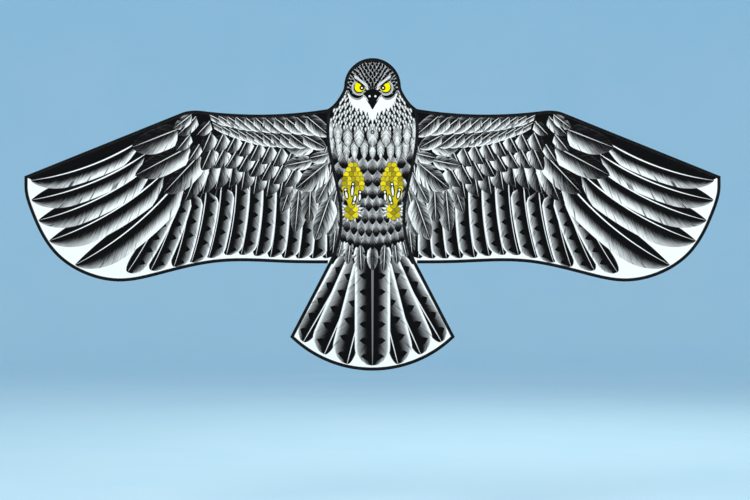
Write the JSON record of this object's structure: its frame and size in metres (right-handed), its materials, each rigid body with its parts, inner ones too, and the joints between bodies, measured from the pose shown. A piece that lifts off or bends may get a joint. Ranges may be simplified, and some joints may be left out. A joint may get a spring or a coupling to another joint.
{
  "type": "bird-shaped single-line kite",
  "caption": "Single-line kite cut and printed as a soaring eagle: cloth body and wings on a take-down glass-fibre frame, with springy wings and wing tips.",
  "frame": {"origin": "centre of the upper bridle eyelet, on the middle plane of the cloth", "axes": "+Z towards the head, +X to the right as the printed front is seen, +Y from the printed front to the back where the rods are"},
  "size_m": [1.5, 0.0135, 0.6735],
  "materials": {
    "printed_cloth": "matte",
    "black_tape": "matte",
    "white_tape": "matte",
    "patch_cloth": "matte",
    "glass_fibre": "satin",
    "soft_vinyl": "matte",
    "moulded_plastic": "satin",
    "ferrule_metal": "satin",
    "eyelet_metal": "satin"
  },
  "bodies": {
    "body": {"body_sail": "printed_cloth", "head_binding": "black_tape", "tail_binding": "black_tape", "bridle_patches": "patch_cloth", "upper_bridle_eyelet": "eyelet_metal", "lower_bridle_eyelet": "eyelet_metal", "spine_rod": "glass_fibre", "spine_caps": "soft_vinyl", "head_pocket": "patch_cloth", "tail_pocket": "patch_cloth", "spine_loops": "white_tape", "tail_fitting": "moulded_plastic", "stopper_rings": "soft_vinyl", "centre_ferrule": "ferrule_metal", "cross_fitting": "moulded_plastic", "right_seam_tape": "black_tape", "right_wing_root_sail": "printed_cloth", "right_wing_root_binding": "black_tape", "right_tail_spar": "glass_fibre", "right_tail_cap": "soft_vinyl", "right_tail_corner_pocket": "patch_cloth", "left_seam_tape": "black_tape", "left_wing_root_sail": "printed_cloth", "left_wing_root_binding": "black_tape", "left_tail_spar": "glass_fibre", "left_tail_cap": "soft_vinyl", "left_tail_corner_pocket": "patch_cloth"},
    "right_wing": {"right_wing_sail": "printed_cloth", "right_wing_binding": "black_tape", "right_half_bar": "glass_fibre", "right_bar_channel": "patch_cloth", "right_wrist_elbow": "soft_vinyl"},
    "right_tip": {"right_tip_sail": "printed_cloth", "right_tip_binding": "black_tape", "right_outer_spar": "glass_fibre", "right_outer_sleeve": "patch_cloth", "right_tip_cap": "soft_vinyl", "right_tip_pocket": "patch_cloth"},
    "left_wing": {"left_wing_sail": "printed_cloth", "left_wing_binding": "black_tape", "left_half_bar": "glass_fibre", "left_bar_channel": "patch_cloth", "left_wrist_elbow": "soft_vinyl"},
    "left_tip": {"left_tip_sail": "printed_cloth", "left_tip_binding": "black_tape", "left_outer_spar": "glass_fibre", "left_outer_sleeve": "patch_cloth", "left_tip_cap": "soft_vinyl", "left_tip_pocket": "patch_cloth"}
  },
  "joints": [
    {"name": "right_wing_flex", "type": "hinge", "parent": "body", "child": "right_wing", "pos_m": [0.137, 0, 0.0312], "axis": [0.1305, 0, 0.9914], "range_deg": [-8, 22], "stiffness_Nm_per_rad": 3, "deforming": ["right_half_bar"]},
    {"name": "right_tip_flex", "type": "hinge", "parent": "right_wing", "child": "right_tip", "pos_m": [0.418, 0, 0.0312], "axis": [0.2079, 0, 0.9781], "range_deg": [-8, 32], "stiffness_Nm_per_rad": 0.8, "deforming": ["right_wrist_elbow"]},
    {"name": "left_wing_flex", "type": "hinge", "parent": "body", "child": "left_wing", "pos_m": [-0.137, 0, 0.0312], "axis": [0.1305, 0, -0.9914], "range_deg": [-8, 22], "stiffness_Nm_per_rad": 3, "deforming": ["left_half_bar"]},
    {"name": "left_tip_flex", "type": "hinge", "parent": "left_wing", "child": "left_tip", "pos_m": [-0.418, 0, 0.0312], "axis": [0.2079, 0, -0.9781], "range_deg": [-8, 32], "stiffness_Nm_per_rad": 0.8, "deforming": ["left_wrist_elbow"]}
  ]
}
